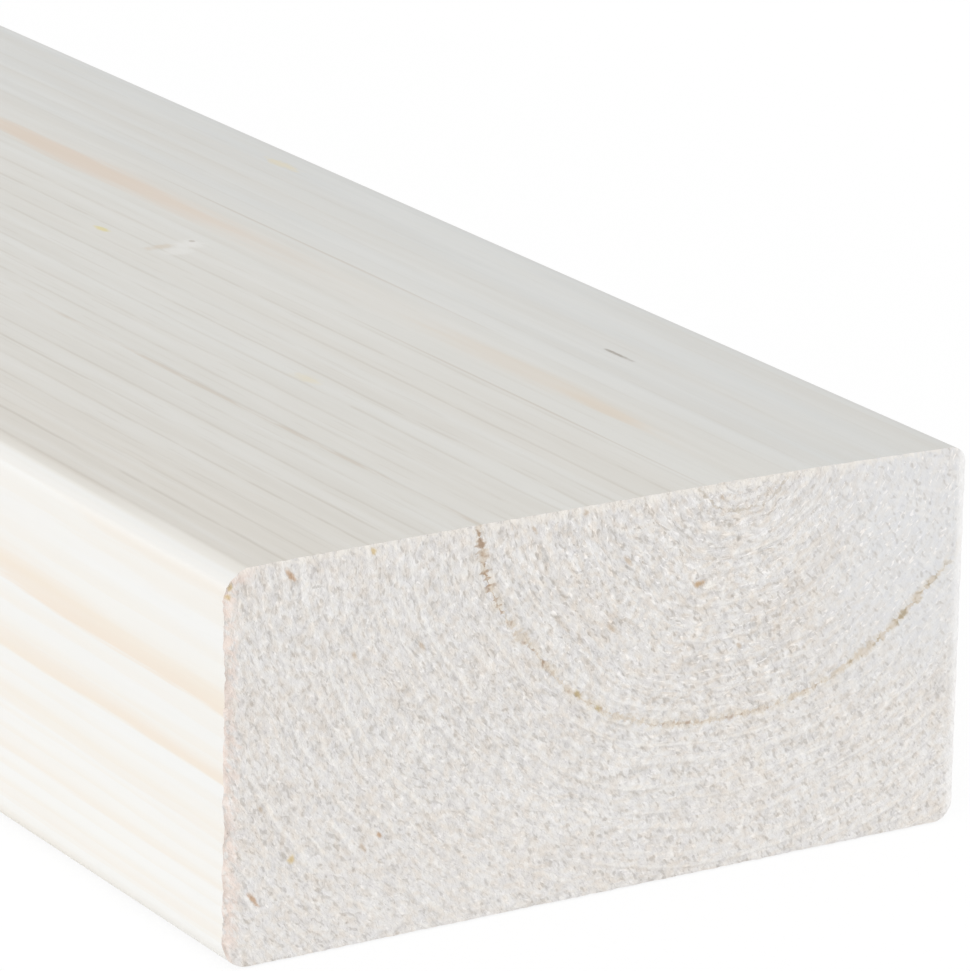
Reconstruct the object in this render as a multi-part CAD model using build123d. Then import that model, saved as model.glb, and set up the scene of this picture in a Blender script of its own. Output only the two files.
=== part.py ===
from build123d import *
import os

# One straight length of planed spruce: a rectangular section with its four long edges eased,
# sawn square at both ends. The length runs along X, the width along Y and the thickness up Z.
# The origin is on the underside, midway along the length and across the width.

# Driving dimensions, in millimetres
plank_length = 2400.0
plank_width = 95.0
plank_thickness = 45.0
arris_radius = 3.0

# The planed section stands on the origin, in the plane across the length
planed_section = RectangleRounded(plank_width, plank_thickness, arris_radius)
standing_section = Plane.YZ * Pos(0, plank_thickness / 2) * planed_section

# The section runs half the length each way, and the two ends are plain square saw cuts
plank = extrude(standing_section, amount=plank_length / 2, both=True)
plank.label = "plank"

os.makedirs("parts", exist_ok=True)
export_step(plank, "parts/plank.step")
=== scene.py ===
import math

import bpy
import numpy as np
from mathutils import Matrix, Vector


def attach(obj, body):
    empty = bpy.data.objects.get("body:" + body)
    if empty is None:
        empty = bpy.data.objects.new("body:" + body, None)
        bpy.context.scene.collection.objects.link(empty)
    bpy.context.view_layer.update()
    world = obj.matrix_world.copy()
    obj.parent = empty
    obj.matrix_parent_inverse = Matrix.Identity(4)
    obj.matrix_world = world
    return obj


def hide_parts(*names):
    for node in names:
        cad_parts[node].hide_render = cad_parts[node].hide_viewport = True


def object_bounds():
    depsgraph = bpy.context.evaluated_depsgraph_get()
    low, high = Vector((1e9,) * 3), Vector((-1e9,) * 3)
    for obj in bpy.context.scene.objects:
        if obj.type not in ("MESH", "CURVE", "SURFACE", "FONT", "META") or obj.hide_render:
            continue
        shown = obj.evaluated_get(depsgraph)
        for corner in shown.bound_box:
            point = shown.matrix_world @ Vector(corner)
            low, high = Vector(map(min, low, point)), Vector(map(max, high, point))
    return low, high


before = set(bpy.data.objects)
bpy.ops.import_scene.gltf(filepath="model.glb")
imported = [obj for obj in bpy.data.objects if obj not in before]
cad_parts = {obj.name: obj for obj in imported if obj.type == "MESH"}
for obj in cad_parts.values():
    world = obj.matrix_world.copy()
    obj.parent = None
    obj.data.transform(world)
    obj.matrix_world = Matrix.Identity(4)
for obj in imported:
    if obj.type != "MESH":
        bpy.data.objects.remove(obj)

cad_low, cad_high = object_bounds()

# The plank blank
# One straight length of spruce, planed on four faces with its long edges eased, and sawn off square.
# It starts as the near end, a fine grid, because the saw leaves its relief there; the long faces are
# drawn out of that end's outline to the far end, which is a copy of it.
MM = 0.001
length, width, thickness = cad_high - cad_low
half_size = np.array([width, thickness]) / 2
plank_middle = Vector((0.0, 0.0, thickness / 2))
end_cell = 0.34 * MM

bpy.ops.object.select_all(action="DESELECT")
bpy.ops.mesh.primitive_grid_add(
    x_subdivisions=round(width / end_cell),
    y_subdivisions=round(thickness / end_cell),
    size=1,
    calc_uvs=False,
    location=(cad_high.x, 0, plank_middle.z),
    rotation=(math.pi / 2, 0, math.pi / 2),
)
plank = bpy.context.active_object
plank.name = "planed_plank"
bpy.ops.transform.resize(value=(1, width, thickness))
bpy.ops.object.transform_apply(location=True, rotation=True, scale=True)


def read_points(mesh):
    """Each vertex of a mesh as a row of three."""
    flat = np.empty(len(mesh.vertices) * 3)
    mesh.vertices.foreach_get("co", flat)
    return flat.reshape(-1, 3)


# Each long edge is eased by so much across and so much down. The near top edge has a broad flat, given as
# points from the side to the top in shares of its reach, and the planer rounded the other three.
near_top_shares = np.array([(1.0, 0.0), (0.93, 0.33), (0.70, 0.56), (0.34, 0.84), (0.0, 1.0)])
eased_edges = [
    ((-1, 1), (2.8, 2.3), near_top_shares),
    ((1, 1), (1.9, 1.9), None),
    ((1, -1), (2.3, 2.3), None),
    ((-1, -1), (3.1, 3.1), None),
]
points = read_points(plank.data)
for corner, reach_mm, flat in eased_edges:
    reach = np.array(reach_mm) * MM
    core = half_size - reach
    past = ((points[:, 1:] - plank_middle[1:]) * corner - core) / reach
    in_corner = (past > 0.001).all(1)
    square = past[in_corner].max(1)
    turn = np.arctan2(past[in_corner, 1], past[in_corner, 0])
    if flat is None:
        eased = [np.cos(turn), np.sin(turn)]
    else:
        flat_turns = np.linspace(0, math.pi / 2, len(flat))
        eased = [np.interp(turn, flat_turns, share) for share in flat.T]
    drawn_in = core + np.stack(eased, 1) * square[:, None] * reach
    points[in_corner, 1:] = plank_middle[1:] + corner * drawn_in
plank.data.vertices.foreach_set("co", points.ravel())

# The long faces, drawn back in steps that are short by each end and long between
short_steps = [0.3, 0.4, 0.6, 1.0, 2.0, 4.0, 8.0, 16.0, 40.0, 80.0, 150.0, 250.0, 300.0]
half_steps = [step * MM for step in short_steps]
half_steps.append(length / 2 - sum(half_steps))
bpy.ops.object.mode_set(mode="EDIT")
bpy.ops.mesh.select_all(action="SELECT")
bpy.ops.mesh.duplicate_move(TRANSFORM_OT_translate={"value": (-length, 0, 0)})
bpy.ops.mesh.select_all(action="INVERT")
bpy.ops.mesh.region_to_loop()
for step in half_steps + half_steps[::-1]:
    bpy.ops.mesh.extrude_edges_move(TRANSFORM_OT_translate={"value": (-step, 0, 0)})
bpy.ops.mesh.select_all(action="SELECT")
bpy.ops.mesh.remove_doubles(threshold=0.01 * MM)
bpy.ops.mesh.normals_make_consistent(inside=False)
bpy.ops.mesh.faces_shade_smooth()
bpy.ops.mesh.select_all(action="DESELECT")
bpy.ops.mesh.select_mode(type="EDGE")
bpy.ops.mesh.edges_select_sharp(sharpness=math.radians(60))
bpy.ops.mesh.mark_sharp()
bpy.ops.object.mode_set(mode="OBJECT")

# The long faces take the first material and the two ends the second
faces = plank.data.polygons
facing = np.empty(len(faces) * 3)
faces.foreach_get("normal", facing)
facing_x = facing.reshape(-1, 3)[:, 0]
on_end = np.abs(facing_x) > 0.9
faces.foreach_set("material_index", on_end.astype(np.int32))

# A flat layout of the surface: the ends large, side by side, and the long faces unrolled above them
layout_gap = 0.004
near_wide, end_high = 0.742, 0.352
far_wide = 1 - near_wide - 3 * layout_gap
strip_low = end_high + 2 * layout_gap
strip_high = 1 - layout_gap - strip_low
face_middles = np.empty(len(faces) * 3)
faces.foreach_get("center", face_middles)
face_middles = face_middles.reshape(-1, 3)
corner_vertices = np.empty(len(plank.data.loops), dtype=np.int32)
plank.data.loops.foreach_get("vertex_index", corner_vertices)
corner_counts = np.empty(len(faces), dtype=np.int32)
faces.foreach_get("loop_total", corner_counts)
corner_faces = np.repeat(np.arange(len(faces)), corner_counts)
x, y, z = read_points(plank.data)[corner_vertices].T
along, across, up = x / length + 0.5, y / width + 0.5, z / thickness
on_right = face_middles[corner_faces, 1] >= -0.1 * end_cell
is_low = face_middles[corner_faces, 2] < plank_middle.z
girth = 2 * width + 2 * thickness
around = np.select(
    [on_right & is_low, on_right, ~is_low],
    [y + z, width + z - y, width + 2 * thickness - y - z],
    girth + y - z,
) / girth
layout_u = np.select(
    [facing_x[corner_faces] > 0.9, facing_x[corner_faces] < -0.9],
    [layout_gap + across * near_wide, near_wide + 2 * layout_gap + up * far_wide],
    layout_gap + along * (1 - 2 * layout_gap),
)
layout_v = np.select(
    [facing_x[corner_faces] > 0.9, facing_x[corner_faces] < -0.9],
    [layout_gap + up * end_high, layout_gap + across * end_high],
    strip_low + around * strip_high,
)
layout = plank.data.uv_layers.new(name="OFBake")
layout.data.foreach_set("uv", np.stack([layout_u, layout_v], 1).ravel())


# The growth rings
# The plank was cut just under the pith, so its rings run as cups through the end, as lines along the top
# and as bands along the sides. One set of nodes gives every surface the same rings.
def add_node(tree, kind, feeds, output=0, **settings):
    """A node of that kind, set up, with its inputs linked or set, and one of its outputs."""
    made = tree.nodes.new(kind)
    for name, value in settings.items():
        setattr(made, name, value)
    for key, value in feeds.items():
        if isinstance(value, bpy.types.NodeSocket):
            tree.links.new(value, made.inputs[key])
        else:
            made.inputs[key].default_value = value
    return made.outputs[output]


def reckon(tree, operation, first, second=0.0, third=0.0):
    """One step of arithmetic."""
    return add_node(tree, "ShaderNodeMath", {0: first, 1: second, 2: third}, operation=operation)


def product(tree, *values):
    """Several values multiplied."""
    total = values[0]
    for value in values[1:]:
        total = reckon(tree, "MULTIPLY", total, value)
    return total


def ramp(tree, value, low, high, to_low=0.0, to_high=1.0):
    """A value eased from one range to another, held at the ends."""
    return add_node(tree, "ShaderNodeMapRange", {0: value, 1: low, 2: high, 3: to_low, 4: to_high},
                    interpolation_type="SMOOTHSTEP")


def split(tree, place):
    """The three coordinates of a place, in millimetres."""
    scaled = add_node(tree, "ShaderNodeVectorMath", {0: place, "Scale": 1 / MM}, operation="SCALE")
    made = add_node(tree, "ShaderNodeSeparateXYZ", {0: scaled}).node
    return made.outputs[0], made.outputs[1], made.outputs[2]


def cloud(tree, place, sizes, detail=2.0, rough=0.5, shift=0.0, curl=0.0):
    """Soft random patches of that size in millimetres along each axis, from 0 to 1 about 0.5."""
    per_metre = tuple(1 / (size * MM) for size in sizes)
    stretched = add_node(tree, "ShaderNodeVectorMath", {0: place, 1: per_metre, 2: (shift, shift, shift)},
                         operation="MULTIPLY_ADD")
    return add_node(tree, "ShaderNodeTexNoise", {"Vector": stretched, "Scale": 1.0, "Detail": detail,
                                                 "Roughness": rough, "Distortion": curl})


pith_y, pith_z = 17.7, 47.0
ring_squash = 1.16
ring_width = 3.42
brown_ring_radius = 34.1
near_end_x = cad_high.x / MM
half_width = width / MM / 2
side_lean, top_lean, lean_reach = 0.0068, -0.005, 15.0
wave_from, wave_lean, wave_height, waves_per_turn, wave_start = -2.007, -0.41, 0.55, 3.6, 0.98
ripple_height, ripples_per_turn = 0.4, 7.5


def about_pith(tree, y, z):
    """How far across and up a place lies from the pith, measured as the rings lie, wider than high."""
    run = reckon(tree, "SUBTRACT", y, pith_y)
    rise = reckon(tree, "MULTIPLY", reckon(tree, "SUBTRACT", z, pith_z), ring_squash)
    return run, rise


def ring_radius(tree, place):
    """Millimetres from the pith to the ring through a place. Rings wave, and lean along the length."""
    x, y, z = split(tree, place)
    run, rise = about_pith(tree, y, z)
    round_radius = reckon(tree, "SQRT", reckon(tree, "MULTIPLY_ADD", run, run, product(tree, rise, rise)))
    turned = reckon(tree, "SUBTRACT", reckon(tree, "ARCTAN2", rise, run), wave_from)
    wave = reckon(tree, "SINE", reckon(tree, "MULTIPLY_ADD", turned, waves_per_turn, wave_start))
    wave = reckon(tree, "MULTIPLY_ADD", wave, wave_height, product(tree, turned, wave_lean))
    ripple = reckon(tree, "COSINE", product(tree, turned, ripples_per_turn))
    wave = reckon(tree, "MULTIPLY_ADD", ripple, ramp(tree, round_radius, 52, 40, 0.0, ripple_height), wave)
    wave = product(tree, wave, ramp(tree, round_radius, 0.0, brown_ring_radius))
    back = reckon(tree, "SUBTRACT", near_end_x, x)
    lean_back = reckon(tree, "DIVIDE", back, reckon(tree, "MULTIPLY_ADD", back, 1 / 400, 1.0))
    lean = add_node(tree, "ShaderNodeMapRange",
                    {0: y, 1: -half_width, 2: lean_reach - half_width, 3: side_lean, 4: top_lean})
    leaning = reckon(tree, "MULTIPLY_ADD", lean, lean_back, reckon(tree, "SUBTRACT", round_radius, wave))
    wobble = reckon(tree, "SUBTRACT", cloud(tree, place, (160, 9, 9)), 0.5)
    wander = reckon(tree, "SUBTRACT", cloud(tree, place, (700, 900, 900), detail=1.0), 0.5)
    wander = product(tree, wander, ramp(tree, back, 200, 700, 0.0, 24.0))
    return reckon(tree, "ADD", reckon(tree, "MULTIPLY_ADD", wobble, 1.5, leaning), wander)


def ring_years(tree, radius):
    """Years of growth out from the brown ring; the fraction is 0 in spring and nears 1 in autumn."""
    return reckon(tree, "DIVIDE", reckon(tree, "SUBTRACT", radius, brown_ring_radius), ring_width)


# The sawn relief
# The saw tears the end's fibres into short curled tufts that lean with the rings and with its way across,
# leaves a shallow groove along one dark ring, and frays the rim. The planed top is a little crowned, and
# all of this is moved in the mesh.
fleck_lean = math.radians(-52)
fleck_along = (0.0, math.cos(fleck_lean), math.sin(fleck_lean))
fleck_across = (0.0, -math.sin(fleck_lean), math.cos(fleck_lean))
belt_width = brown_ring_radius / 4
ends_apart = 20.0


def end_slice(tree, place):
    """A third coordinate that differs from end to end and is the same all over one end."""
    x, y, z = split(tree, place)
    return product(tree, reckon(tree, "SIGN", x), ends_apart * MM)


def saw_place(tree, place):
    """A place on the end along and across the saw's way, flat, so that depth changes nothing."""
    along = add_node(tree, "ShaderNodeVectorMath", {0: place, 1: fleck_along}, 1, operation="DOT_PRODUCT")
    across = add_node(tree, "ShaderNodeVectorMath", {0: place, 1: fleck_across}, 1, operation="DOT_PRODUCT")
    return add_node(tree, "ShaderNodeCombineXYZ", {0: along, 1: across, 2: end_slice(tree, place)})


def ring_place(tree, place, radius):
    """A place on the end along and across the rings, as if they were laid straight, belt by belt."""
    x, y, z = split(tree, place)
    run, rise = about_pith(tree, y, z)
    belt = reckon(tree, "SNAP", reckon(tree, "ADD", radius, belt_width / 2), belt_width)
    belt = reckon(tree, "MAXIMUM", belt, belt_width / 2)
    along = product(tree, reckon(tree, "ARCTAN2", rise, run), belt, MM)
    return add_node(tree, "ShaderNodeCombineXYZ",
                    {0: along, 1: product(tree, radius, MM), 2: end_slice(tree, place)})


def torn_fibres(tree, sawn_way, laid):
    """Height of the torn fibres, first in tufts and then in single fibres, each from 0 to 1 about 0.5."""
    ring_tufts = cloud(tree, laid, (1.5, 1.0, 50), detail=1.0, curl=0.5)
    saw_tufts = cloud(tree, sawn_way, (1.9, 0.95, 50), detail=1.0, shift=7.3, curl=0.5)
    ring_fibres = cloud(tree, laid, (0.70, 0.45, 50), detail=1.0, rough=0.6, shift=2.7, curl=0.7)
    saw_fibres = cloud(tree, sawn_way, (0.84, 0.43, 50), detail=1.0, rough=0.6, shift=5.1, curl=0.7)
    tufts = reckon(tree, "MULTIPLY_ADD", ring_tufts, 0.5, product(tree, saw_tufts, 0.5))
    fibres = reckon(tree, "MULTIPLY_ADD", ring_fibres, 0.5, product(tree, saw_fibres, 0.5))
    return tufts, fibres


def ring_breaks(tree, laid):
    """Random values along the rings: one frays a dark ring's edges and one breaks its line."""
    frayed = reckon(tree, "SUBTRACT", cloud(tree, laid, (0.8, 0.8, 50), rough=0.6, shift=1.9), 0.5)
    broken = cloud(tree, laid, (1.0, 30.0, 50), rough=0.6, shift=3.1)
    return frayed, broken


def broken_ring(tree, frayed, broken, off_line, widest):
    """A broken dark ring, 1 along its line: dashes of uneven length and width, with ragged edges."""
    reach = ramp(tree, broken, 0.38, 0.62, 0.06, widest)
    off_line = reckon(tree, "ABSOLUTE", reckon(tree, "MULTIPLY_ADD", frayed, 1.3, off_line))
    return ramp(tree, reckon(tree, "DIVIDE", off_line, reach), 1.2, 0.2)


shaping = bpy.data.node_groups.new("sawn_relief", "GeometryNodeTree")
shaping.interface.new_socket("Geometry", in_out="INPUT", socket_type="NodeSocketGeometry")
shaping.interface.new_socket("Geometry", in_out="OUTPUT", socket_type="NodeSocketGeometry")
blank = shaping.nodes.new("NodeGroupInput").outputs[0]
place = add_node(shaping, "GeometryNodeInputPosition", {})
x, y, z = split(shaping, place)
from_end = reckon(shaping, "SUBTRACT", near_end_x, reckon(shaping, "ABSOLUTE", x))
at_end = reckon(shaping, "LESS_THAN", from_end, 0.05)
radius = ring_radius(shaping, place)
laid = ring_place(shaping, place, radius)
sawn_way = saw_place(shaping, place)
tufts, fibres = torn_fibres(shaping, sawn_way, laid)
off_ring = reckon(shaping, "SUBTRACT", radius, brown_ring_radius)
depth = product(shaping, reckon(shaping, "SUBTRACT", tufts, 0.5), 0.5)
depth = reckon(shaping, "MULTIPLY_ADD", reckon(shaping, "SUBTRACT", fibres, 0.5), 0.25, depth)
frayed, broken = ring_breaks(shaping, laid)
groove = broken_ring(shaping, frayed, broken, off_ring, 0.6)
depth = reckon(shaping, "MULTIPLY_ADD", groove, -0.07, depth)
right_share = product(shaping, ramp(shaping, y, 20, 40), ramp(shaping, z, 14, 28))
depth = product(shaping, depth, at_end, reckon(shaping, "MULTIPLY_ADD", right_share, -0.5, 1.0))

to_side = reckon(shaping, "SUBTRACT", half_width, reckon(shaping, "ABSOLUTE", y))
to_face = reckon(shaping, "MINIMUM", z, reckon(shaping, "SUBTRACT", thickness / MM, z))
at_rim = ramp(shaping, reckon(shaping, "MINIMUM", to_side, to_face), 1.1, 0.1)
at_rim = product(shaping, at_rim, ramp(shaping, from_end, 4.0, 0.0))
chips = cloud(shaping, sawn_way, (2.2, 1.1, 50), detail=3.0, rough=0.65, shift=6.1)
chip_reach = product(
    shaping,
    ramp(shaping, to_side, 3.0, 1.0, 0.6, 1.9),
    ramp(shaping, y, 40, 46, 1.0, 0.3),
)
chip_depth = product(shaping, reckon(shaping, "SUBTRACT", chips, 0.54), chip_reach)
depth = reckon(shaping, "MULTIPLY_ADD", chip_depth, at_rim, depth)
push_x = product(shaping, depth, reckon(shaping, "SIGN", x))
off_middle = reckon(shaping, "ABSOLUTE", reckon(shaping, "DIVIDE", y, half_width))
edge_share = reckon(shaping, "POWER", off_middle, 3.0)
drop = reckon(shaping, "MULTIPLY_ADD", edge_share, ramp(shaping, y, -30, 30, -0.3, -0.6), -0.05)
push_z = product(shaping, drop, reckon(shaping, "DIVIDE", z, thickness / MM))
push = add_node(shaping, "ShaderNodeCombineXYZ", {0: push_x, 2: push_z})
push = add_node(shaping, "ShaderNodeVectorMath", {0: push, "Scale": MM}, operation="SCALE")
shaped = add_node(shaping, "GeometryNodeSetPosition", {"Geometry": blank, "Offset": push})
shaping.links.new(shaped, shaping.nodes.new("NodeGroupOutput").inputs[0])
relief = plank.modifiers.new("sawn_relief", "NODES")
relief.node_group = shaping
bpy.ops.object.select_all(action="DESELECT")
plank.select_set(True)
bpy.context.view_layer.objects.active = plank
bpy.ops.object.modifier_apply(modifier=relief.name)


# The planed faces
# Bare pale spruce off the planer, dry and matt, with no finish on it. Autumn wood shows as thin broken
# lines on top and as soft peach bands on the sides, and the pith grazes the top in a few peach streaks.
def paint(red, green, blue):
    """A colour written as it is seen, from 0 to 255, as the light it gives back."""
    def light(level):
        share = level / 255
        return share / 12.92 if share <= 0.04045 else ((share + 0.055) / 1.055) ** 2.4
    return (light(red), light(green), light(blue), 1.0)


def blend(tree, share, under, over, way="MIX"):
    """One colour over another, by that share."""
    return add_node(tree, "ShaderNodeMix", {0: share, 6: under, 7: over}, 2,
                    data_type="RGBA", blend_type=way)


def new_material(name):
    """A material with one plain shader, its tree and that shader."""
    material = bpy.data.materials.new(name)
    material.use_nodes = True
    tree = material.node_tree
    return material, tree, tree.nodes["Principled BSDF"]


def colour_steps(tree, value, steps):
    """A colour that follows a value through steps of (value, colour)."""
    made = add_node(tree, "ShaderNodeValToRGB", {0: value}).node
    marks = made.color_ramp.elements
    while len(marks) < len(steps):
        marks.new(0.5)
    for mark, (at, shade) in zip(marks, steps):
        mark.position = at
        mark.color = shade
    return made.outputs[0]


def spot(tree, place, middle, reach, ragged):
    """A soft mark at a place, 1 in its middle, with those half sizes in millimetres and an uneven edge."""
    middle = tuple(m * MM for m in middle)
    reach = tuple(r * MM for r in reach)
    away = add_node(tree, "ShaderNodeVectorMath", {0: place, 1: middle}, operation="SUBTRACT")
    scaled = add_node(tree, "ShaderNodeVectorMath", {0: away, 1: reach}, operation="DIVIDE")
    far = add_node(tree, "ShaderNodeVectorMath", {0: scaled}, 1, operation="LENGTH")
    return ramp(tree, reckon(tree, "ADD", ragged, far), 2.0, 0.6)


planed, tree, shader = new_material("planed_spruce")
place = add_node(tree, "ShaderNodeTexCoord", {}, "Object")
x, y, z = split(tree, place)
back = reckon(tree, "SUBTRACT", near_end_x, x)
radius = ring_radius(tree, place)
years = ring_years(tree, radius)
on_side = ramp(tree, reckon(tree, "ABSOLUTE", y), 45.6, 46.8)
off_side = reckon(tree, "SUBTRACT", 1.0, on_side)

# Broad tones, warmer to the near side and cooler to the far side
tone_patches = cloud(tree, place, (260, 9, 30), detail=3.0, rough=0.55)
left_warmth = ramp(tree, y, -2, -40)
patch_warmth = ramp(tree, tone_patches, 0.35, 0.75, 0.0, 0.6)
warm_share = reckon(tree, "MULTIPLY_ADD", left_warmth, 0.6, patch_warmth)
cool_share = product(tree, ramp(tree, y, 18, 34), ramp(tree, tone_patches, 0.7, 0.4, 0.5, 1.0))
colour = blend(tree, warm_share, paint(231, 230, 225), paint(229, 225, 217))
colour = blend(tree, cool_share, colour, paint(225, 226, 224))
# Painted light: the side is painted paler towards the bottom, where light from the floor falls
floor_light_share = ramp(tree, z, 26, 8)
side_colour = blend(tree, floor_light_share, paint(233, 233, 231), paint(235, 235, 233))
colour = blend(tree, on_side, colour, side_colour)

# Fine streaks of the grain
streaks = cloud(tree, place, (17, 1.4, 1.4), rough=0.45)
streak_share = product(tree, ramp(tree, on_side, 0.0, 1.0, 1.0, 0.35), ramp(tree, y, -25, 35, 1.0, 0.5))
dark_streaks = product(tree, ramp(tree, streaks, 0.50, 0.74, 0.0, 0.17), streak_share)
pale_streaks = product(tree, ramp(tree, streaks, 0.50, 0.28, 0.0, 0.16), streak_share)
colour = blend(tree, dark_streaks, colour, paint(221, 217, 208))
colour = blend(tree, pale_streaks, colour, paint(239, 238, 235))

# Lines of autumn wood on top, with fainter ones between them
waver = reckon(tree, "SUBTRACT", cloud(tree, place, (34, 3, 3), detail=1.0, shift=6.3), 0.5)
fine_waver = reckon(tree, "SUBTRACT", cloud(tree, place, (9, 1.8, 1.8), detail=1.0, shift=2.4), 0.5)
waver = reckon(tree, "MULTIPLY_ADD", fine_waver, 0.4, waver)
line_years = reckon(tree, "MULTIPLY_ADD", waver, 0.18, years)
line_phase = reckon(tree, "FRACT", line_years)
ring_strength = add_node(tree, "ShaderNodeTexWhiteNoise", {"W": reckon(tree, "FLOOR", line_years)},
                         noise_dimensions="1D")
short_breaks = cloud(tree, place, (8, 1.2, 1.2), shift=5.0)
long_breaks = cloud(tree, place, (90, 3, 3), detail=1.0, shift=8.0)
dark_lengths = product(tree, ramp(tree, long_breaks, 0.48, 0.70, 0.0, 0.24), off_side)
pale_lengths = product(tree, ramp(tree, long_breaks, 0.50, 0.32, 0.0, 0.26), off_side)
colour = blend(tree, dark_lengths, colour, paint(220, 216, 208))
colour = blend(tree, pale_lengths, colour, paint(238, 238, 235))
line_share = product(tree, ramp(tree, y, 22, -4, 0.28, 1.0), ramp(tree, y, -43.6, -42.8), off_side)
line = product(
    tree,
    ramp(tree, line_phase, 0.76, 0.92),
    ramp(tree, line_phase, 1.0, 0.92),
    ramp(tree, short_breaks, 0.30, 0.54, 0.15, 1.0),
    ramp(tree, long_breaks, 0.34, 0.56, 0.35, 1.0),
    reckon(tree, "MULTIPLY_ADD", ring_strength, 0.45, 0.55),
    line_share,
)
colour = blend(tree, product(tree, line, 0.60), colour, paint(205, 199, 188))
minor_phase = reckon(tree, "FRACT", reckon(tree, "MULTIPLY_ADD", line_years, 2.4, 0.35))
minor_breaks = cloud(tree, place, (8, 1.0, 1.0), detail=1.0, shift=7.7)
minor_line = product(
    tree,
    ramp(tree, minor_phase, 0.60, 0.92),
    ramp(tree, minor_phase, 1.0, 0.92),
    ramp(tree, minor_breaks, 0.48, 0.68),
    line_share,
)
colour = blend(tree, product(tree, minor_line, 0.26), colour, paint(212, 207, 198))
off_ring = reckon(tree, "SUBTRACT", radius, brown_ring_radius)
off_ring = reckon(tree, "ABSOLUTE", reckon(tree, "MULTIPLY_ADD", waver, 0.9, off_ring))
brown_line = product(
    tree,
    ramp(tree, off_ring, 0.65, 0.1),
    ramp(tree, short_breaks, 0.34, 0.56, 0.2, 1.0),
    off_side,
    ramp(tree, minor_breaks, 0.36, 0.56, 0.25, 1.0),
)
colour = blend(tree, product(tree, brown_line, 0.52), colour, paint(208, 196, 180))

# The near top edge: a dark line where its flat begins, and painted shade that darkens the flat away from
# the end
flat_from = -44.5
from_arris = reckon(tree, "ABSOLUTE", reckon(tree, "SUBTRACT", y, flat_from))
arris_line = product(
    tree,
    ramp(tree, from_arris, 0.55, 0.0),
    ramp(tree, short_breaks, 0.3, 0.55, 0.5, 1.0),
    ramp(tree, z, 40, 42),
)
arris_share = product(tree, arris_line, ramp(tree, back, 4, 40, 0.2, 0.6))
colour = blend(tree, arris_share, colour, paint(208, 201, 190))
# Painted shade on the flat of the near top edge, deeper away from the end
on_arris = product(tree, ramp(tree, y, -44.6, -44.9), ramp(tree, y, -45.9, -45.6), ramp(tree, z, 40, 42))
flat_painted_shade = product(tree, on_arris, ramp(tree, back, 8, 40, 0.0, 0.24))
colour = blend(tree, flat_painted_shade, colour, paint(200, 194, 184))

# Peach bands of autumn wood on the sides, each with a soft glow before it and faint bands between
band_fray = cloud(tree, place, (30, 1.2, 1.2), detail=3.0, rough=0.65, shift=12.0)
band_edge = reckon(tree, "SUBTRACT", band_fray, 0.5)
band_years = reckon(tree, "SUBTRACT", years, ramp(tree, back, 0, 60, 0.22, 0.16))
band_years = reckon(tree, "MULTIPLY_ADD", band_edge, 0.22, band_years)
band_phase = reckon(tree, "FRACT", band_years)
band_start = ramp(tree, back, 0, 70, 0.64, 0.42)
band = product(tree, ramp(tree, band_phase, band_start, 0.90), ramp(tree, band_phase, 1.0, 0.93))
glow = product(tree, ramp(tree, band_phase, 0.10, 0.85), ramp(tree, band_phase, 1.0, 0.90))
band_weight = product(
    tree,
    ramp(tree, radius, 65.8, 66.8, 0.42, 1.0),
    ramp(tree, radius, 75.0, 73.4, 0.25, 1.0),
)
band = product(tree, band, band_weight, on_side, 0.64)
band = product(tree, band, ramp(tree, long_breaks, 0.3, 0.6, 0.75, 1.1))
glow_share = product(tree, glow, on_side, ramp(tree, z, 4, 18, 0.12, 0.26))
colour = blend(tree, glow_share, colour, paint(233, 224, 208))
colour = blend(tree, band, colour, paint(231, 216, 199))
faint_phase = reckon(tree, "FRACT", reckon(tree, "MULTIPLY_ADD", band_years, 2.6, 0.35))
faint_band = product(
    tree,
    ramp(tree, faint_phase, 0.35, 0.85),
    ramp(tree, faint_phase, 1.0, 0.88),
    on_side,
)
colour = blend(tree, product(tree, faint_band, 0.22), colour, paint(232, 222, 206))
cream_streaks = cloud(tree, place, (220, 3.0, 3.0), shift=14.0)
cream_share = product(tree, ramp(tree, cream_streaks, 0.44, 0.66, 0.0, 0.16), on_side)
colour = blend(tree, cream_share, colour, paint(233, 223, 207))

# Painted light: the near top edge is painted paler where it rounds down to the side
arris_painted_light = product(tree, ramp(tree, y, -45.8, -46.2), ramp(tree, z, 42.0, 43.2), 0.5)
colour = blend(tree, arris_painted_light, colour, paint(240, 241, 240))

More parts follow.
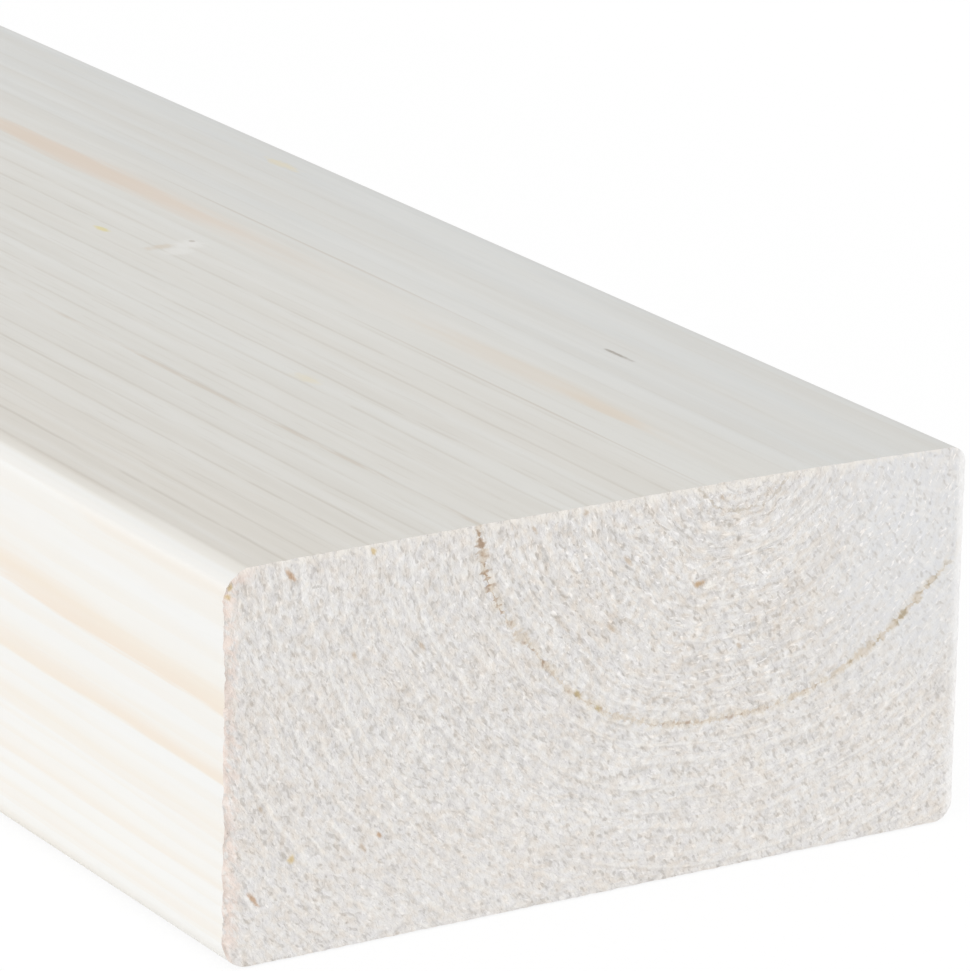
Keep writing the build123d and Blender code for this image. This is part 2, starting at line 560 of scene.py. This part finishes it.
# Single marks on top: each one's middle, half sizes, ragged edge, colour and strength
long_ragged = reckon(tree, "MULTIPLY_ADD", cloud(tree, place, (24, 1.4, 2), shift=9.0), 1.6, -0.8)
short_ragged = reckon(tree, "MULTIPLY_ADD", cloud(tree, place, (2.2, 0.8, 2), shift=9.0), 2.4, -1.2)
planed_marks = [
    ((1046.0, 19.3, 45), (24.0, 1.4, 4), long_ragged, paint(231, 213, 194), 0.75),
    ((1060.0, 19.4, 45), (28.0, 1.8, 4), long_ragged, paint(232, 219, 206), 0.55),
    ((1170.0, 18.6, 45), (6.0, 0.8, 4), long_ragged, paint(230, 213, 192), 0.60),
    ((1156.0, 18.9, 45), (16.0, 1.5, 4), long_ragged, paint(231, 220, 205), 0.50),
    ((1120.0, 18.6, 45), (50.0, 2.4, 4), long_ragged, paint(231, 224, 214), 0.20),
    ((1057.5, 42.0, 45), (2.6, 0.6, 4), short_ragged, paint(234, 224, 196), 0.65),
    ((1075.6, 5.7, 45), (1.0, 0.45, 4), short_ragged, paint(232, 220, 160), 0.80),
    ((1144.2, -4.8, 45), (1.8, 0.7, 4), short_ragged, paint(234, 226, 204), 0.65),
    ((1152.5, 32.2, 45), (1.8, 0.24, 4), short_ragged, paint(160, 150, 138), 0.75),
    ((1098.0, 24.4, 45), (24.0, 0.16, 4), long_ragged, paint(200, 190, 176), 0.42),
    ((1165.0, 12.6, 45), (26.0, 0.16, 4), long_ragged, paint(200, 190, 176), 0.42),
    ((1087.0, 11.6, 45), (1.3, 1.3, 4), short_ragged, paint(243, 242, 239), 0.60),
    ((1089.0, 8.8, 45), (1.2, 1.4, 4), short_ragged, paint(241, 240, 236), 0.60),
    ((1086.4, 8.0, 45), (0.7, 1.3, 4), short_ragged, paint(220, 208, 190), 0.60),
    ((1085.9, 12.7, 45), (0.28, 0.28, 4), short_ragged, paint(188, 178, 168), 0.60),
]
for middle, reach, ragged, shade, strength in planed_marks:
    colour = blend(tree, product(tree, spot(tree, place, middle, reach, ragged), strength), colour, shade)

tree.links.new(colour, shader.inputs["Base Color"])
grain_depth = 0.03 * MM
grain_bump = add_node(tree, "ShaderNodeBump", {"Strength": 1.0, "Distance": grain_depth, "Height": streaks})
tree.links.new(grain_bump, shader.inputs["Normal"])
tree.links.new(ramp(tree, streaks, 0.35, 0.65, 0.55, 0.68), shader.inputs["Roughness"])
shader.inputs["Specular IOR Level"].default_value = 0.25
plank.data.materials.append(planed)

# The sawn ends
# Bare end grain off the saw: off-white tufts with grey pits between them, the grey of the pits and the
# darker low and paler high tufts being painted shade and light, smooth pale lines where the dense autumn
# wood was cut clean, one broken brown ring, and a warm frayed rim.
sawn, tree, shader = new_material("sawn_spruce")
place = add_node(tree, "ShaderNodeTexCoord", {}, "Object")
x, y, z = split(tree, place)
radius = ring_radius(tree, place)
laid = ring_place(tree, place, radius)
sawn_way = saw_place(tree, place)
tufts, fibres = torn_fibres(tree, sawn_way, laid)
run, rise = about_pith(tree, y, z)
turn = reckon(tree, "ARCTAN2", rise, run)

# Each ring layer is a row of pits, along the rings to the left and along the saw's way elsewhere, and it
# ends in a smooth pale line
layer_width = 2.3
uneven_layers = cloud(tree, laid, (4000, 5, 4000), detail=0.0)
ragged_layers = cloud(tree, laid, (2.6, 1.4, 50), detail=1.0, shift=7.1)
uneven_layers = reckon(tree, "MULTIPLY_ADD", ragged_layers, 0.22, uneven_layers)
layers = reckon(tree, "MULTIPLY_ADD", uneven_layers, 1.6, reckon(tree, "DIVIDE", radius, layer_width))
layer_phase = reckon(tree, "FRACT", layers)
layer_strength = add_node(tree, "ShaderNodeTexWhiteNoise", {"W": reckon(tree, "FLOOR", layers)},
                          noise_dimensions="1D")
line_patches = cloud(tree, laid, (7, 2, 50), rough=0.6, shift=2.2)
pale_line = product(
    tree,
    ramp(tree, layer_phase, 0.0, 0.06),
    ramp(tree, layer_phase, 0.24, 0.15),
    ramp(tree, line_patches, 0.40, 0.60, 0.1, 1.0),
    reckon(tree, "MULTIPLY_ADD", layer_strength, 0.5, 0.5),
)
# Painted shadow: a thin grey line beside each smooth pale line
painted_shadow_edge = product(
    tree,
    ramp(tree, layer_phase, 0.20, 0.28),
    ramp(tree, layer_phase, 0.46, 0.32),
    ramp(tree, line_patches, 0.40, 0.60),
)
pit_row = product(tree, ramp(tree, layer_phase, 0.22, 0.45), ramp(tree, layer_phase, 1.0, 0.80))
ring_pits = cloud(tree, laid, (1.05, 0.54, 50), detail=1.0, shift=5.5, curl=0.4)
saw_pits = cloud(tree, sawn_way, (1.05, 0.54, 50), detail=1.0, shift=6.5)
saw_share = product(tree, ramp(tree, turn, -2.4, -2.0), ramp(tree, radius, 8, 20))
pit_field = add_node(tree, "ShaderNodeMix", {0: saw_share, 2: ring_pits, 3: saw_pits})
pit_field = reckon(tree, "MULTIPLY_ADD", pit_row, 0.10, pit_field)
right_share = product(tree, ramp(tree, y, 20, 40), ramp(tree, z, 14, 28))
smooth_right = reckon(tree, "MULTIPLY_ADD", right_share, -0.6, 1.0)
pits = product(tree, ramp(tree, pit_field, 0.63, 0.78), smooth_right)
pits = product(tree, pits, reckon(tree, "MULTIPLY_ADD", pale_line, -0.8, 1.0))
loose_pits = ramp(tree, cloud(tree, sawn_way, (1.15, 0.7, 50), detail=1.0, shift=12.5), 0.60, 0.73)
pits = reckon(tree, "MAXIMUM", pits, product(tree, loose_pits, right_share, 0.8))
shreds = ramp(tree, cloud(tree, laid, (0.9, 0.42, 50), detail=1.0, shift=8.8, curl=0.6), 0.60, 0.72)
ray_lines = cloud(tree, laid, (0.7, 9.0, 50), detail=0.0, shift=4.9)
rays = product(tree, ramp(tree, ray_lines, 0.58, 0.74), saw_share)

# Painted light and shade of the relief: tufts and fibres painted darker where they sit low and paler where
# high, with shreds, smooth lines and pits over it
fibre_tone = product(tree, reckon(tree, "SUBTRACT", fibres, 0.5), 0.4)
tuft_tone = product(tree, reckon(tree, "SUBTRACT", tufts, 0.5), ramp(tree, y, -35, -5, 0.35, 0.5))
relief_shade_tone = reckon(tree, "MULTIPLY_ADD", reckon(tree, "ADD", fibre_tone, tuft_tone), smooth_right, 0.5)
colour = colour_steps(tree, relief_shade_tone, [
    (0.38, paint(212, 209, 205)),
    (0.45, paint(227, 224, 221)),
    (0.50, paint(234, 231, 228)),
    (0.55, paint(238, 236, 233)),
    (0.63, paint(250, 248, 246)),
])
# Painted light: the end is painted paler towards the bottom, where light from the floor falls
colour = blend(tree, ramp(tree, z, 24, 4, 0.0, 0.25), colour, paint(246, 244, 242))
colour = blend(tree, product(tree, right_share, 0.5), colour, paint(233, 235, 236))
# Pale shreds of torn fibre, painted near white: partly their own pale colour and partly painted highlight
shred_highlight_share = product(tree, shreds, ramp(tree, radius, 36, 28, 0.7, 1.0))
colour = blend(tree, shred_highlight_share, colour, paint(255, 252, 249))
line_share = product(tree, ramp(tree, radius, 28, 36, 0.50, 0.70), smooth_right)
smooth_lines = reckon(tree, "MAXIMUM", product(tree, pale_line, line_share), product(tree, rays, 0.3))
# Painted shadow beside the smooth lines
colour = blend(tree, product(tree, painted_shadow_edge, smooth_right, 0.28), colour, paint(208, 205, 201))
colour = blend(tree, smooth_lines, colour, paint(248, 246, 242))
# Painted shade: the pits are painted grey where the torn fibres hollow
pit_shade_share = product(tree, pits, ramp(tree, radius, 36, 28, 0.54, 0.64))
colour = blend(tree, pit_shade_share, colour, paint(193, 188, 182))

# Warm and cool tints
small_tint = cloud(tree, laid, (1.3, 0.9, 50), detail=1.0, shift=4.4)
broad_tint = cloud(tree, sawn_way, (8, 6, 50), detail=1.0, shift=3.3)
inside_ring = ramp(tree, radius, 36, 28)
warm_share = reckon(tree, "MULTIPLY_ADD", ramp(tree, small_tint, 0.45, 0.70), 0.44,
                    ramp(tree, broad_tint, 0.40, 0.70, 0.0, 0.18))
warm_share = product(tree, warm_share, reckon(tree, "MULTIPLY_ADD", right_share, -0.6, 1.0))
warm_share = product(tree, warm_share, reckon(tree, "MULTIPLY_ADD", inside_ring, 0.3, 0.95))
colour = blend(tree, warm_share, colour, paint(250, 242, 233), way="MULTIPLY")
right_cool = product(tree, right_share, 0.2)
cool_share = reckon(tree, "MULTIPLY_ADD", ramp(tree, small_tint, 0.5, 0.3), 0.40, right_cool)
colour = blend(tree, cool_share, colour, paint(248, 249, 254), way="MULTIPLY")

# The broken brown ring, with a soft halo, and a small ring by the pith
off_ring = reckon(tree, "SUBTRACT", radius, brown_ring_radius)
ring_shades = cloud(tree, laid, (0.8, 0.8, 50), detail=1.0, shift=8.2)
left_ring_end = ramp(tree, turn, -2.55, -2.85)
right_ring_end = product(tree, ramp(tree, turn, -1.1, -0.95), 0.6)
ring_ends = reckon(tree, "MAXIMUM", left_ring_end, right_ring_end)
dark_share = ramp(tree, reckon(tree, "MULTIPLY_ADD", ring_ends, 0.14, ring_shades), 0.48, 0.74)
ring_dark = blend(tree, ramp(tree, turn, -1.5, -1.0), paint(169, 138, 108), paint(170, 150, 112))
ring_colour = blend(tree, dark_share, paint(219, 206, 189), ring_dark)
by_ring = ramp(tree, reckon(tree, "ABSOLUTE", off_ring), 1.1, 0.1)
ring_halo = product(tree, by_ring, ramp(tree, small_tint, 0.35, 0.65))
colour = blend(tree, product(tree, ring_halo, 0.5), colour, paint(229, 220, 205))
wide_left = product(tree, ramp(tree, turn, -3.12, -2.95), ramp(tree, turn, -2.3, -2.6))
wide_right = product(tree, ramp(tree, turn, -1.2, -1.02), ramp(tree, turn, -0.70, -0.84))
ring_reach = ramp(tree, reckon(tree, "MAXIMUM", wide_left, wide_right), 0.0, 1.0, 0.64, 0.94)
ring_share = reckon(tree, "MULTIPLY_ADD", ring_ends, 0.14, 0.66)
ring_share = product(tree, ring_share, ramp(tree, turn, -0.50, -0.72, 0.12, 1.0))
frayed, broken = ring_breaks(tree, laid)
brown_ring = broken_ring(tree, frayed, broken, off_ring, ring_reach)
colour = blend(tree, product(tree, brown_ring, ring_share), colour, ring_colour)
inner_ring_radius = 6.4
off_inner = reckon(tree, "SUBTRACT", radius, inner_ring_radius)
inner_ring = broken_ring(tree, frayed, broken, off_inner, 0.35)
colour = blend(tree, product(tree, inner_ring, 0.55), colour, paint(198, 187, 170))

# The rim: warm down the left side and round the eased top corner, paler along the top, and painted light
# making it white to the right
to_flat = reckon(tree, "MULTIPLY_ADD", z, -0.85, reckon(tree, "MULTIPLY_ADD", y, 0.53, 62.0))
to_left = reckon(tree, "MINIMUM", reckon(tree, "ADD", y, half_width), to_flat)
to_top = reckon(tree, "SUBTRACT", thickness / MM - 0.3, z)
rim_fray = cloud(tree, sawn_way, (1.8, 0.9, 50), detail=3.0, rough=0.65, shift=11.0)
rim_breaks = reckon(tree, "SUBTRACT", rim_fray, 0.5)
rim_specks = ramp(tree, cloud(tree, sawn_way, (0.9, 0.6, 50), shift=1.3), 0.30, 0.56)
left_rim = ramp(tree, reckon(tree, "MULTIPLY_ADD", rim_breaks, 4.5, to_left), 2.2, 0.4)
colour = blend(tree, product(tree, left_rim, rim_specks, 0.75), colour, paint(239, 222, 212))
top_rim = ramp(tree, reckon(tree, "MULTIPLY_ADD", rim_breaks, 2.4, to_top), 0.9, 0.1)
colour = blend(tree, product(tree, top_rim, rim_specks, 0.7), colour, paint(245, 240, 232))
# Painted light: the right rim is painted near white
colour = blend(tree, ramp(tree, y, 46.2, 47.3, 0.0, 0.7), colour, paint(254, 253, 252))

# Single specks: each one's place across and up, half sizes along and across the saw's way, and colour
speck_edges = cloud(tree, sawn_way, (0.7, 0.5, 50), rough=0.6, shift=9.0)
speck_ragged = reckon(tree, "MULTIPLY_ADD", speck_edges, 2.0, -0.7)
rust, amber, tan, grey, gold, speck_glint = (
    paint(198, 162, 128), paint(200, 182, 140), paint(206, 190, 172), paint(192, 186, 178),
    paint(222, 198, 148), paint(252, 249, 243),
)
sawn_marks = [
    ((-39.6, 43.0), (0.85, 0.26), rust),
    ((-43.8, 7.4), (0.9, 0.22), rust),
    ((-0.7, 21.6), (0.35, 0.3), amber),
    ((-3.4, 23.7), (0.45, 0.3), amber),
    ((-46.9, 42.9), (0.35, 0.35), gold),
    ((-47.0, 41.7), (0.35, 0.3), gold),
    ((-29.4, 44.1), (0.4, 0.3), gold),
    ((-2.8, 44.2), (0.35, 0.3), tan),
    ((-31.7, 32.9), (0.45, 0.22), tan),
    ((-23.3, 32.5), (0.6, 0.22), tan),
    ((-9.4, 43.4), (0.45, 0.2), tan),
    ((-30.3, 10.8), (0.6, 0.22), tan),
    ((-28.3, 11.9), (0.4, 0.22), rust),
    ((-43.1, 17.6), (0.5, 0.3), tan),
    ((-40.1, 11.7), (0.4, 0.25), grey),
    ((-39.2, 11.2), (0.4, 0.4), gold),
    ((14.2, 40.3), (0.25, 0.25), grey),
    ((15.9, 40.0), (0.25, 0.25), grey),
    ((17.1, 38.2), (0.25, 0.25), grey),
    ((14.9, 43.2), (0.4, 0.25), tan),
    ((2.8, 37.8), (0.7, 0.25), tan),
    ((0.7, 30.6), (0.6, 0.25), tan),
    ((17.6, 25.8), (0.4, 0.28), tan),
]
for (mark_y, mark_z), (long_reach, wide_reach), shade in sawn_marks:
    mark_place = Vector((0.0, mark_y, mark_z))
    middle = (mark_place.dot(fleck_along), mark_place.dot(fleck_across), ends_apart)
    mark = spot(tree, sawn_way, middle, (long_reach, wide_reach, 1.0), speck_ragged)
    colour = blend(tree, product(tree, mark, 0.8), colour, shade)
# Two marks laid level: a brown speck, and a painted highlight beside it
level_marks = [((12.1, 33.8), (0.75, 0.32), paint(204, 172, 134)), ((13.6, 33.4), (0.6, 0.4), speck_glint)]
for (mark_y, mark_z), (wide_reach, high_reach), shade in level_marks:
    mark = spot(tree, place, (near_end_x, mark_y, mark_z), (3.0, wide_reach, high_reach), speck_ragged)
    colour = blend(tree, product(tree, mark, 0.85), colour, shade)

tree.links.new(colour, shader.inputs["Base Color"])
torn_height = product(tree, fibres, smooth_right)
tear_depth = 0.2 * MM
torn_bump = add_node(tree, "ShaderNodeBump",
                     {"Strength": 1.0, "Distance": tear_depth, "Height": torn_height})
tree.links.new(torn_bump, shader.inputs["Normal"])
tree.links.new(ramp(tree, fibres, 0.35, 0.65, 0.88, 0.72), shader.inputs["Roughness"])
shader.inputs["Specular IOR Level"].default_value = 0.15
plank.data.materials.append(sawn)

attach(plank, "root")
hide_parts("plank")

# The floor
# A plain pale studio floor that reads as white to the camera and keeps the plank's soft shadow.
bpy.ops.object.select_all(action="DESELECT")
bpy.ops.mesh.primitive_plane_add(size=160, location=(0, 0, -0.0002))
floor = bpy.context.active_object
floor.name = "studio_floor"
floor_material, tree, shader = new_material("studio_floor")
shader.inputs["Base Color"].default_value = (0.9, 0.9, 0.9, 1)
shader.inputs["Roughness"].default_value = 1.0
shader.inputs["Specular IOR Level"].default_value = 0.0
white = add_node(tree, "ShaderNodeEmission", {"Color": (1, 1, 1, 1), "Strength": 1.04})
light_path = add_node(tree, "ShaderNodeLightPath", {}).node
seen = reckon(tree, "MAXIMUM", light_path.outputs["Is Camera Ray"], light_path.outputs["Is Glossy Ray"])
seen = reckon(tree, "MAXIMUM", seen, light_path.outputs["Is Transmission Ray"])
white_share = product(tree, seen, 0.86)
shown = add_node(tree, "ShaderNodeMixShader", {0: white_share, 1: shader.outputs[0], 2: white})
tree.links.new(shown, tree.nodes["Material Output"].inputs["Surface"])
floor.data.materials.append(floor_material)

# The camera
# It stands where the photograph was taken from, a little above the plank's near corner, with a long lens.
image_height_px = 971
focal_px = 6377.0
camera_place = Vector((1.7472, -0.3598, 0.2530))
camera_aim = Vector((1.2, -0.01575, 0.04928))
camera_roll = math.radians(1.04)
camera_data = bpy.data.cameras.new("photo_camera")
camera = bpy.data.objects.new("photo_camera", camera_data)
bpy.context.scene.collection.objects.link(camera)
camera_data.sensor_width = 36.0
camera_data.lens = camera_data.sensor_width * focal_px / image_height_px
camera_data.clip_end = 300.0
camera.location = camera_place
camera.rotation_euler = (camera_aim - camera_place).to_track_quat("-Z", "Y").to_euler()
camera.rotation_euler.rotate_axis("Z", camera_roll)
bpy.context.scene.camera = camera

# The light
# Soft even light all round, and one broad low lamp from the plank's near side.
world = bpy.data.worlds.new("studio")
bpy.context.scene.world = world
world.use_nodes = True
tree = world.node_tree
sky = tree.nodes["Background"]
sky.inputs["Color"].default_value = (1, 1, 1, 1)
light_path = add_node(tree, "ShaderNodeLightPath", {}).node
sky_strength = ramp(tree, light_path.outputs["Is Camera Ray"], 0.0, 1.0, 0.83, 1.0)
tree.links.new(sky_strength, sky.inputs["Strength"])
lamp_data = bpy.data.lights.new("key", "SUN")
lamp_data.energy = 1.20
lamp_data.angle = math.radians(20)
lamp = bpy.data.objects.new("key", lamp_data)
bpy.context.scene.collection.objects.link(lamp)
lamp_side = Vector((0.155, -0.35, 0.05))
lamp.rotation_euler = lamp_side.to_track_quat("Z", "Y").to_euler()
bpy.context.scene.view_settings.view_transform = "Standard"
